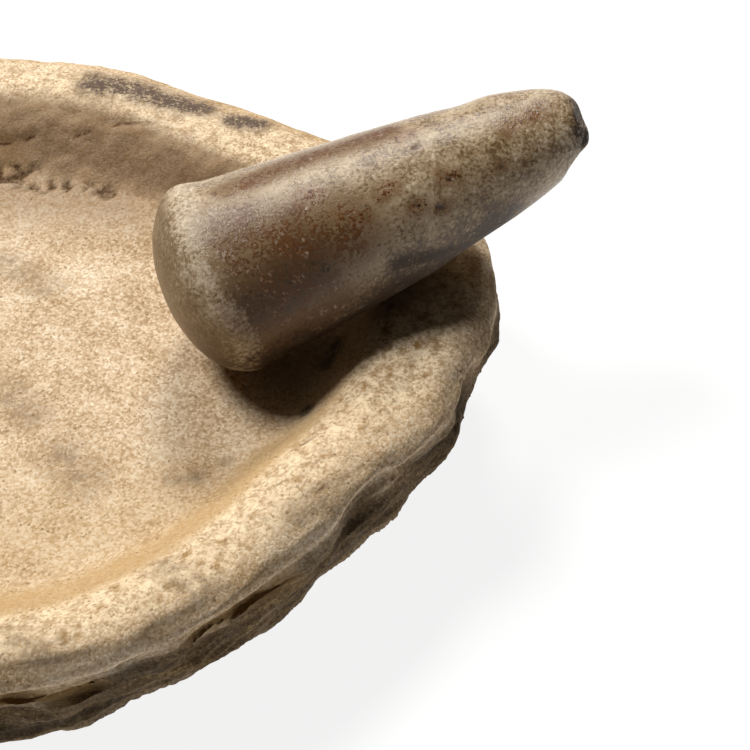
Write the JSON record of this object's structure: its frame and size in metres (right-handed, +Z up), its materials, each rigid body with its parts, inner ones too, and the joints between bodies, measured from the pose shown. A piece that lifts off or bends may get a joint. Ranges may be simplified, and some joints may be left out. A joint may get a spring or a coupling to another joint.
{
  "type": "mortar and pestle",
  "caption": "Hewn sandstone mortar with a shallow oval basin, and a polished tapering stone pestle that rests in the basin and over the rim.",
  "frame": {"origin": "middle of the flat facet under the mortar that it stands on", "axes": "+Z up out of the basin, +X along the mortar's longer side towards the pestle's narrow end, +Y across it to the steep side of the basin"},
  "size_m": [0.3586, 0.2765, 0.119],
  "materials": {
    "sandstone": "rough, sandy grain with a weathered flank",
    "polished_stone": "worn to a waxy polish"
  },
  "bodies": {
    "mortar": {"mortar": "sandstone"},
    "pestle": {"pestle": "polished_stone"}
  },
  "joints": [
    {"name": "pestle_lift", "type": "slide", "parent": "mortar", "child": "pestle", "axis": [0, 0, 1], "range_m": [0, 0.12]}
  ]
}
